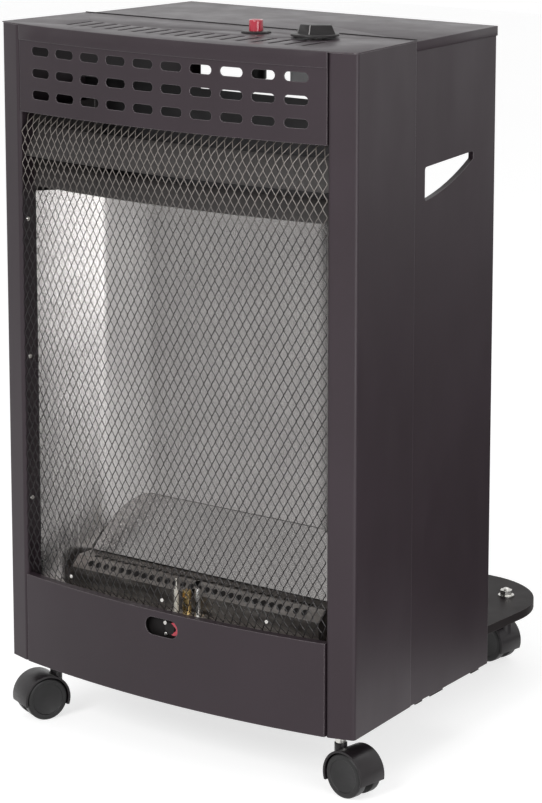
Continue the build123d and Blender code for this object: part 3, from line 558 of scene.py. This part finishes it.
# %% Lay the guard on the bowed front
guard_setback = 2.6 * mm
fold_top = guard_high[2] - 16.8 * mm
fold_foot = guard_low[2] + 11.8 * mm
lean_top = 14 * mm
lean_foot = 5.5 * mm
for point in guard.data.vertices:
    over = max(0.0, point.co.z - fold_top) / (guard_high[2] - fold_top)
    under = max(0.0, fold_foot - point.co.z) / (fold_foot - guard_low[2])
    setback = guard_setback + over * lean_top + under * lean_foot
    point.co.y += bow_y(point.co.x, setback)
apply_modifier(guard, "SOLIDIFY", thickness=strand_thick, offset=0)
finish_piece(guard, "guard_enamel", "cabinet", angle=20, stands_for=["mesh_guard"])

# %% [markdown]
# ## The reflector
# Behind the flames stands one bright sheet, folded twice so that two wings throw the
# heat forward. It is made as it is folded: a flat wing, pulled out along the back and
# out again along the other wing, with the two folds rounded before it gets thickness.
# The folds are wide, because they are what draws the bright and dark upright bands.

# %% Reflector
reflector_low, reflector_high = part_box("reflector")
reflector_t = 0.8 * mm
wing_lean = 55 * mm
fold_radius = 34 * mm
wing_x = reflector_high[0] - reflector_t
wing_y = reflector_low[1] + reflector_t
back_y = reflector_high[1] - reflector_t
reflector_top = reflector_high[2]
reflector_h = reflector_top - reflector_low[2]
fold_x = wing_x - wing_lean
reflector = new_piece(
    "folded_reflector", bpy.ops.mesh.primitive_plane_add, size=1,
    location=(-(wing_x + fold_x) / 2, (wing_y + back_y) / 2,
              (reflector_low[2] + reflector_top) / 2),
    rotation=(math.pi / 2, 0, math.atan2(back_y - wing_y, wing_lean)))
reflector.scale = (math.hypot(wing_lean, back_y - wing_y), reflector_h, 1)
settle(reflector)
bpy.ops.object.mode_set(mode="EDIT")
for reach, move in ((-fold_x, (2 * fold_x, 0, 0)),
                    (fold_x, (wing_lean, wing_y - back_y, 0))):
    select_points(reflector, lambda p: p.x > reach - 0.1 * mm)
    bpy.ops.mesh.extrude_edges_move(TRANSFORM_OT_translate={"value": move})
select_edges(reflector, lambda a, b: abs(a.x - b.x) < 0.1 * mm and abs(abs(a.x) - fold_x) < 0.1 * mm)
bpy.ops.mesh.bevel(offset=fold_radius, segments=14, profile=0.5)
bpy.ops.object.mode_set(mode="OBJECT")
apply_modifier(reflector, "SOLIDIFY", thickness=reflector_t, offset=0)
finish_piece(reflector, "bright_steel", "cabinet", stands_for=["reflector"])

# %% [markdown]
# ### The reflector's foot
# Behind the burner the reflector's foot leans forward to the burner's back edge, so
# that no dark gap mirrors there. It is a flat sheet whose lower edge is drawn forward
# and widened to meet both wings.

# %% Reflector foot
burner_low, burner_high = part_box("burner")
foot_rise = 62 * mm
foot_widening = 1.16
foot_top = burner_high[2] + foot_rise
foot_low = burner_high[2] + 0.9 * mm
foot_back = back_y - 1.2 * mm
foot_front = burner_high[1] - 1.0 * mm
foot = new_piece("reflector_foot", bpy.ops.mesh.primitive_plane_add, size=1,
                 location=(0, foot_back, (foot_low + foot_top) / 2), rotation=(math.pi / 2, 0, 0))
foot.scale = (2 * fold_x - 2 * mm, foot_top - foot_low, 1)
settle(foot)
bpy.ops.object.mode_set(mode="EDIT")
select_points(foot, lambda p: p.z < foot_low + 1 * mm)
bpy.ops.transform.translate(value=(0, foot_front - foot_back, 0))
bpy.ops.transform.resize(value=(foot_widening, 1, 1), center_override=(0, 0, 0))
bpy.ops.object.mode_set(mode="OBJECT")
apply_modifier(foot, "SOLIDIFY", thickness=reflector_t, offset=0)
finish_piece(foot, "bright_steel", "cabinet")

# %% [markdown]
# ## Flame ports
# The burner's slanted face has a row of round ports. Each is drawn as a black disc, which
# is painted shade for the dark hole, so through the mesh only their dark rings show. One
# port is a low disc, dished by two insets, and an array sets it along the burner.

# %% Burner ports
burner_slant = 11 * mm
port_pitch = 10.4 * mm
port_count = 28
ports = new_piece("burner_ports", bpy.ops.mesh.primitive_cylinder_add, vertices=20,
                  radius=3.4 * mm, depth=0.7 * mm)
bpy.ops.object.mode_set(mode="EDIT")
select_faces(ports, lambda centre, normal: normal.z > 0.9)
for step in (0.5, 0.8):
    bpy.ops.mesh.inset(thickness=step * mm, depth=-0.08 * mm)
bpy.ops.object.mode_set(mode="OBJECT")
ports.rotation_euler = (math.radians(45), 0, 0)
ports.location = (-(port_count - 1) * port_pitch / 2, burner_low[1] + burner_slant / 2,
                  burner_high[2] - burner_slant / 2)
settle(ports)
apply_modifier(ports, "ARRAY", count=port_count, use_relative_offset=False,
               use_constant_offset=True, constant_offset_displace=(port_pitch, 0, 0))
# The black finish on the port discs is painted shade for the dark holes.
finish_piece(ports, "painted_shade_black", "cabinet")

# %% [markdown]
# ## The two hoods
# Two leaning sheets stand over the reflector. The lower one's lip is bent up a little,
# so that more of the reflector stands free under it, and the upper one ends short of
# the grille, which leaves the dark slit that hot air rises through. Merged copies of
# the solids have the points of one edge slid along the sheet's own slope.

# %% Hoods
def slid_edge(node, name, test, move):
    """A merged copy of a sheet with the points of one edge moved."""
    sheet = merged_copy(node, name)
    select_points(sheet, test)
    bpy.ops.transform.translate(value=move)
    bpy.ops.object.mode_set(mode="OBJECT")
    return finish_piece(sheet, "inner_enamel", "cabinet", stands_for=[node])


lip_lift = 11 * mm
lip_slope = 0.8
head_drop = 17 * mm
head_slope = 0.65
lower_hood_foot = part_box("lower_hood")[0][2]
upper_hood_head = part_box("upper_hood")[1][2]
slid_edge("lower_hood", "lower_hood_lip", lambda p: p.z < lower_hood_foot + 1 * mm,
          (0, lip_lift * lip_slope, lip_lift))
slid_edge("upper_hood", "upper_hood_head", lambda p: p.z > upper_hood_head - 1 * mm,
          (0, -head_drop * head_slope, -head_drop))

# %% [markdown]
# ## Controls
# The gas knob is a round skirt with a bar grip across it, moulded in one piece. The
# skirt is a low cylinder whose rim is rounded by a bevel of its top face, so that it
# shows a thin bright ring.

# %% Knob skirt
spindle_low, spindle_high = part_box("spindle")
knob_x = (spindle_low[0] + spindle_high[0]) / 2
knob_y = (spindle_low[1] + spindle_high[1]) / 2
skirt_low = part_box("knob")[0][2]
skirt_r = 24 * mm
skirt_h = 2.4 * mm
knob = new_piece("gas_knob", bpy.ops.mesh.primitive_cylinder_add, vertices=64,
                 radius=skirt_r, depth=skirt_h,
                 location=(knob_x, knob_y, skirt_low + skirt_h / 2))
settle(knob)
bpy.ops.object.mode_set(mode="EDIT")
select_faces(knob, lambda centre, normal: normal.z > 0.9)
bpy.ops.mesh.bevel(offset=1.0 * mm, segments=3)
bpy.ops.object.mode_set(mode="OBJECT")
print("knob skirt:", len(knob.data.polygons), "faces")

# %% [markdown]
# ### The grip
# The bar that the fingers turn leans in towards its top, and its front corner is cut
# away at a slant. It is a block whose top face is drawn in. One upright edge is bevelled
# flat for the cut, and the top edges are rounded last, so that they follow the cut. It
# is joined to the skirt, since both are one moulding.

# %% Knob grip
grip_l, grip_w, grip_h = 36 * mm, 24 * mm, 8.6 * mm
corner_cut = 10 * mm
lean_in_l, lean_in_w = 0.82, 0.56
grip_x = knob_x + 1.2 * mm
grip_turn = math.radians(42)
grip = new_piece("knob_grip", bpy.ops.mesh.primitive_cube_add, size=1)
grip.scale = (grip_l, grip_w, grip_h)
settle(grip)
bpy.ops.object.mode_set(mode="EDIT")
select_faces(grip, lambda centre, normal: normal.z > 0.9)
bpy.ops.transform.resize(value=(lean_in_l, lean_in_w, 1))
select_edges(grip, lambda a, b: abs(a.z - b.z) > 0.9 * grip_h and min(a.x, b.x) < 0 and min(a.y, b.y) < 0)
bpy.ops.mesh.bevel(offset=corner_cut, segments=1)
select_edges(grip, lambda a, b: min(a.z, b.z) > 0.4 * grip_h)
bpy.ops.mesh.bevel(offset=0.9 * mm, segments=3)
bpy.ops.object.mode_set(mode="OBJECT")
grip.location = (grip_x, knob_y, skirt_low + skirt_h + grip_h / 2 - 0.2 * mm)
grip.rotation_euler = (0, 0, grip_turn)
settle(grip)
alone(knob)
grip.select_set(True)
bpy.ops.object.join()
finish_piece(knob, "knob_plastic", "control_knob", stands_for=["knob"])

# %% [markdown]
# ### The pointer line
# A pale line down the bar's cut corner shows where the knob points, and it also stands
# for the highlight on that corner's edge: partly a pointer mark, partly a painted
# highlight. Such lines are usually paint in a shallow groove. Here it is a thin bar that
# leans with the grip and bends over its top edge, so that it still shows from above.

# %% Pointer line
pointer_h = grip_h - 0.8 * mm
pointer_foot = Vector((-grip_l / 2 + corner_cut, -grip_w / 2 - 0.1 * mm))
pointer_head = Vector((pointer_foot.x * lean_in_l, pointer_foot.y * lean_in_w))
pointer = new_piece("knob_pointer", bpy.ops.mesh.primitive_cube_add, size=1)
pointer.scale = (1.1 * mm, 0.7 * mm, pointer_h)
pointer.location = (pointer_foot.x, pointer_foot.y, pointer_h / 2)
settle(pointer)
bpy.ops.object.mode_set(mode="EDIT")
select_faces(pointer, lambda centre, normal: normal.z > 0.9)
bpy.ops.transform.translate(value=(pointer_head.x - pointer_foot.x, pointer_head.y - pointer_foot.y, 0))
bpy.ops.mesh.extrude_region_move(
    TRANSFORM_OT_translate={"value": (0.3 * mm, 0.9 * mm, 0.6 * mm)})
bpy.ops.object.mode_set(mode="OBJECT")
pointer.location = (grip_x, knob_y, skirt_low + skirt_h - 0.1 * mm)
pointer.rotation_euler = (0, 0, grip_turn)
# The pale bar is partly the pointer mark and partly a painted highlight on the corner edge.
finish_piece(pointer, "pointer_and_highlight_grey", "control_knob")

# %% [markdown]
# ### The igniter button
# The red button is a short moulded cylinder with a rounded rim and a dished top, where
# the thumb presses. The rim is a bevel, and three insets that each sink a little make
# the dish, which is smoother than one deep step.

# %% Igniter button
button_low, button_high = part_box("button")
button_r = (button_high[0] - button_low[0]) / 2 - 0.02 * mm
button_h = button_high[2] - button_low[2]
button = new_piece(
    "dished_button", bpy.ops.mesh.primitive_cylinder_add, vertices=48, radius=button_r,
    depth=button_h, location=[(a + b) / 2 for a, b in zip(button_low, button_high)])
settle(button)
bpy.ops.object.mode_set(mode="EDIT")
select_faces(button, lambda centre, normal: normal.z > 0.9)
bpy.ops.mesh.bevel(offset=1.3 * mm, segments=4)
button_x, button_y = ((a + b) / 2 for a, b in zip(button_low[:2], button_high[:2]))
select_faces(button, lambda centre, normal: normal.z > 0.9 and
             math.hypot(centre.x - button_x, centre.y - button_y) < 0.1 * mm)
for step, drop in ((0.7, 0.25), (1.4, 0.35), (1.6, 0.2)):
    bpy.ops.mesh.inset(thickness=step * mm, depth=-drop * mm)
bpy.ops.object.mode_set(mode="OBJECT")
finish_piece(button, "red_plastic", "igniter_button", stands_for=["button"])

# %% [markdown]
# ## Small fasteners
# The sheets are held by slotted pan-head screws. Each is a low cylinder with a rounded
# rim. A boolean sinks the slot into its head, because a cutter is the plainest way to a
# straight slot in a round head.

# %% One pan-head screw
def pan_head(name, place, facing, radius, height, stands_for=()):
    """A slotted pan-head screw, its seat at place, looking along facing."""
    facing = Vector(facing).normalized()
    head = new_piece(name, bpy.ops.mesh.primitive_cylinder_add, vertices=24,
                     radius=radius, depth=height, location=(0, 0, height / 2))
    settle(head)
    bpy.ops.object.mode_set(mode="EDIT")
    select_faces(head, lambda centre, normal: normal.z > 0.9)
    bpy.ops.mesh.bevel(offset=0.45 * height, segments=3)
    bpy.ops.object.mode_set(mode="OBJECT")
    slot = new_piece("slot_cutter", bpy.ops.mesh.primitive_cube_add, size=1,
                     location=(0, 0, height), rotation=(0, 0, 0.6))
    slot.scale = (1.5 * radius, 0.3 * radius, 0.7 * height)
    settle(slot)
    apply_modifier(head, "BOOLEAN", object=slot, operation="DIFFERENCE")
    bpy.data.objects.remove(slot)
    head.rotation_euler = facing.to_track_quat("Z", "Y").to_euler()
    head.location = place
    return finish_piece(head, "zinc_steel", "cabinet", stands_for=stands_for)


print("screw helper ready")

# %% [markdown]
# ### Screws of the firebox and the guard
# Three screws on each side hold the firebox to the posts' flanges, their heads inwards,
# and three smaller ones hold the foot of the guard, square to the bow. Each screw is
# made once more rather than shared, so that every head has its own mesh.

# %% Screws of the firebox and the guard
screw_box_low, screw_box_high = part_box("guard_screws")
screw_r = 2.5 * mm
screw_h = 1.2 * mm
screw_top = screw_box_high[2] - screw_r
screw_foot = screw_box_low[2] + screw_r
screw_middle = screw_foot + (screw_top - screw_foot) * 0.512
screw_y = (screw_box_low[1] + screw_box_high[1]) / 2
for hand, side in ((-1, "left"), (1, "right")):
    for number, height in enumerate((screw_foot, screw_middle, screw_top)):
        pan_head(side + "_screw_" + str(number + 1), (hand * screw_box_high[0], screw_y, height),
                 (-hand, 0, 0), screw_r, screw_h, stands_for=["guard_screws"])
for number, x in enumerate((-126 * mm, 1.5 * mm, 129 * mm)):
    pan_head("foot_screw_" + str(number + 1), (x, bow_y(x, guard_setback - 0.2 * mm), fold_foot),
             (x / bow_radius, -1, 0), 2.0 * mm, 0.9 * mm)

# %% [markdown]
# ## Behind the sight hole
# A red cup sits at the right end of the dark tray. It is a short cylinder whose front
# is inset and pushed in, with its sharp edges bevelled as moulded plastic has them.

# %% Red cup
plug_low, plug_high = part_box("sight_plug")
plug_r = (plug_high[0] - plug_low[0]) / 2
plug_h = plug_high[1] - plug_low[1]
cup = new_piece(
    "red_cup", bpy.ops.mesh.primitive_cylinder_add, vertices=40, radius=plug_r, depth=plug_h,
    location=[(a + b) / 2 for a, b in zip(plug_low, plug_high)], rotation=(math.pi / 2, 0, 0))
settle(cup)
bpy.ops.object.mode_set(mode="EDIT")
select_faces(cup, lambda centre, normal: normal.y < -0.9)
bpy.ops.mesh.inset(thickness=0.6 * plug_r, depth=0)
bpy.ops.mesh.extrude_region_move(TRANSFORM_OT_translate={"value": (0, 0.6 * plug_h, 0)})
bpy.ops.object.mode_set(mode="OBJECT")
apply_modifier(cup, "BEVEL", width=0.35 * mm, segments=2, limit_method="ANGLE")
finish_piece(cup, "red_plastic", "cabinet", stands_for=["sight_plug"])

# %% [markdown]
# ### The cup's painted shade
# Only a crescent of red shows through the panel's hole. The cup's bore lies off its
# middle, and a black disc with a rounded rim, a little ahead of the cup, is painted shade
# in that bore, which makes the crescent.

# %% Cup shade disc
bore_wall = 0.7 * mm
bore_offset = 5.2 * mm
bore_ahead = 0.3 * mm
cup_shade = new_piece(
    "cup_shade_disc", bpy.ops.mesh.primitive_cylinder_add, vertices=32, radius=plug_r - bore_wall,
    depth=plug_h, location=((plug_low[0] + plug_high[0]) / 2 - bore_offset,
                            (plug_low[1] + plug_high[1]) / 2 - bore_ahead,
                            (plug_low[2] + plug_high[2]) / 2),
    rotation=(math.pi / 2, 0, 0))
settle(cup_shade)
bpy.ops.object.mode_set(mode="EDIT")
select_faces(cup_shade, lambda centre, normal: normal.y < -0.9)
bpy.ops.mesh.bevel(offset=0.5 * mm, segments=2)
bpy.ops.object.mode_set(mode="OBJECT")
# The black disc is painted shade in the cup's recess.
finish_piece(cup_shade, "painted_shade_black", "cabinet")

# %% [markdown]
# ### Screws in the tray
# Two bright screw heads, one over the other, show left of the cup against the tray's
# painted shade. They are the same pan heads, set on the tray's back wall.

# %% Tray screws
tray_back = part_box("sight_box")[1][1] - 1.2 * mm
cabinet_foot = panel_low[2]
# Each screw's place across, its height over the cabinet's foot and its radius, in mm.
tray_screws = ((1.8, 83.0, 2.3), (2.4, 71.5, 1.9))
for number, (across, up, radius) in enumerate(tray_screws):
    pan_head("tray_screw_" + str(number + 1), (across * mm, tray_back, cabinet_foot + up * mm),
             (0, -1, 0), radius * mm, 1.1 * mm)

# %% [markdown]
# ## Softened solids
# Folded and moulded parts have rounded edges that catch the light in thin lines. A
# bevel on a merged copy makes them, narrow on the two sheets of the top and wider on
# the moulded castors. Every castor gets its own copies, because each stands at its own
# angle and rides on its own body.

# %% Soften the castors and the top sheets
castors = ["front_left", "front_right", "rear_left", "rear_right"]
for castor in castors:
    softened(castor + "_hood", 0.9 * mm, segments=3)
    softened(castor + "_outer_wheel", 0.5 * mm)
    softened(castor + "_inner_wheel", 0.5 * mm)
for sheet in ("front_cover", "rear_top"):
    softened(sheet, 0.42 * mm)

# %% [markdown]
# ## The seam across the top
# The rear top stands against the front cover, and from the front the seam shows as one
# dark line. A near-black strip paints that shade: a flat strip pulled back over its own
# top, with its edges rounded.

# %% Top seam
lip_low, lip_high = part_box("rear_top")
lip_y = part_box("front_cover")[1][1] + 0.5 * mm
lip_foot = lip_high[2] + 0.1 * mm
lip_h = cover_top + 0.7 * mm - lip_foot
lip = new_piece("top_seam_shade_strip", bpy.ops.mesh.primitive_plane_add, size=1,
                location=(0, lip_y, lip_foot + lip_h / 2), rotation=(math.pi / 2, 0, 0))
lip.scale = (lip_high[0] - lip_low[0], lip_h, 1)
settle(lip)
bpy.ops.object.mode_set(mode="EDIT")
select_points(lip, lambda p: p.z > lip_foot + lip_h / 2)
bpy.ops.mesh.extrude_edges_move(TRANSFORM_OT_translate={"value": (0, 1.4 * mm, -0.3 * mm)})
bpy.ops.object.mode_set(mode="OBJECT")
apply_modifier(lip, "SOLIDIFY", thickness=0.4 * mm, offset=0)
apply_modifier(lip, "BEVEL", width=0.12 * mm, segments=2, limit_method="ANGLE")
# The near-black strip is painted shade in the seam.
finish_piece(lip, "painted_shade_black", "cabinet")

# %% [markdown]
# ## Room, light and camera
# The photograph is a studio cut-out on white. The floor lights the object like grey
# paper, and looks white where a camera or a glossy surface sees it, so that the object
# keeps its shadow on it and its own colours.

# %% Floor
def seen_directly(tree):
    """One for camera, glossy and transmission rays, nought for the light on the object."""
    rays = tree.nodes.new("ShaderNodeLightPath")
    seen = rays.outputs["Is Camera Ray"]
    for kind in ("Is Glossy Ray", "Is Transmission Ray"):
        either = tree.nodes.new("ShaderNodeMath")
        either.operation = "MAXIMUM"
        tree.links.new(seen, either.inputs[0])
        tree.links.new(rays.outputs[kind], either.inputs[1])
        seen = either.outputs[0]
    return seen


floor = new_piece("floor", bpy.ops.mesh.primitive_plane_add, size=12)
floor_finish, floor_tree, floor_shader, floor_place = start_finish("floor_white")
floor_shader.inputs["Roughness"].default_value = 0.9
floor_shader.inputs["Emission Color"].default_value = (1, 1, 1, 1)
floor_tree.links.new(
    spread(floor_tree, seen_directly(floor_tree), 0.0, 0.7, start=0.0, end=1.0),
    floor_shader.inputs["Emission Strength"])
drift = spread(floor_tree, noise(floor_tree, floor_place, 1.5), 0.0, 1.0)
floor_tree.links.new(
    blend_colours(floor_tree, drift, (0.48, 0.48, 0.48), (0.50, 0.50, 0.50)),
    floor_shader.inputs["Base Color"])
floor.data.materials.append(floor_finish)
print("floor laid")

# %% [markdown]
# ### Lamps, boards and sky
# Wide soft lamps give the long highlights on the satin sides, and an even sky fills the
# shadows. Satin enamel also mirrors the floor at a low angle, and on a white floor the
# dark sides would turn grey. A studio lays black boards there, just out of the picture.
# These boards are dark in what mirrors them, and white when a camera sees them.

# %% Lights
def soft_lamp(name, place, aim, size, power):
    """A wide area lamp aimed at a point."""
    lamp = bpy.data.lights.new(name, "AREA")
    lamp.shape = "RECTANGLE"
    lamp.size, lamp.size_y = size
    lamp.energy = power
    holder = bpy.data.objects.new(name, lamp)
    bpy.context.scene.collection.objects.link(holder)
    holder.location = place
    holder.rotation_euler = (Vector(aim) - Vector(place)).to_track_quat("-Z", "Y").to_euler()


def flag(name, place, size, turn=0):
    """A dark board on the studio floor, which the glossy enamel mirrors."""
    board = new_piece(name, bpy.ops.mesh.primitive_plane_add, size=1)
    board.scale = (*size, 1)
    board.location = (*place, board_lift)
    board.rotation_euler = (0, 0, math.radians(turn))
    board.data.materials.append(flag_finish)


board_lift = 0.5 * mm
flag_finish, flag_tree, flag_shader, flag_place = start_finish("flag_cloth")
flag_shader.inputs["Roughness"].default_value = 0.95
flag_tree.links.new(
    blend_colours(flag_tree, noise(flag_tree, flag_place, 40.0), (0.02, 0.02, 0.02), (0.03, 0.03, 0.03)),
    flag_shader.inputs["Base Color"])
flag_shader.inputs["Emission Color"].default_value = (1, 1, 1, 1)
flag_tree.links.new(
    flag_tree.nodes.new("ShaderNodeLightPath").outputs["Is Camera Ray"],
    flag_shader.inputs["Emission Strength"])
flag("right_floor_flag", (0.73, 1.82), (2.4, 3.5), turn=31)
flag("left_floor_flag", (-2.9, -1.85), (1.4, 1.9))
soft_lamp("front_softbox", (0.2, -3.0, 2.1), (0, -0.2, 0.4), (1.4, 1.0), 60)
soft_lamp("right_softbox", (1.55, -0.78, 0.48), (0, -0.14, 0.35), (1.0, 0.95), 12)
soft_lamp("top_softbox", (0.2, 1.6, 2.8), (0, 0, 0.7), (1.8, 1.2), 11)

world = bpy.data.worlds.new("studio")
bpy.context.scene.world = world
world.use_nodes = True
sky = world.node_tree.nodes["Background"]
sky.inputs["Color"].default_value = (1, 1, 1, 1)
world.node_tree.links.new(
    spread(world.node_tree, seen_directly(world.node_tree), 0.45, 1.0, start=0.0, end=1.0),
    sky.inputs["Strength"])
print("lamps:", len(bpy.data.lights))

# %% [markdown]
# ### Camera
# The camera stands to the right of the front, a little above the top, with a long lens.
# The photograph's upright edges are almost parallel, so it looks down only a little and
# the frame is moved down by a small lens shift. It was placed by matching the cabinet's
# edges, slots, hand-hold and castors.

# %% Camera
azimuth = math.radians(37.18)
pitch = math.radians(11.01)
camera = bpy.data.cameras.new("photo_camera")
camera.lens = 133.57
camera.sensor_width = 36
camera.shift_y = -0.17
camera_holder = bpy.data.objects.new("photo_camera", camera)
bpy.context.scene.collection.objects.link(camera_holder)
camera_holder.location = (1.8433, -2.5163, 1.0864)
camera_holder.rotation_euler = (math.pi / 2 - pitch, 0, azimuth)
bpy.context.scene.camera = camera_holder
bpy.context.scene.view_settings.view_transform = "Standard"
print("camera:", camera.lens, "mm lens")
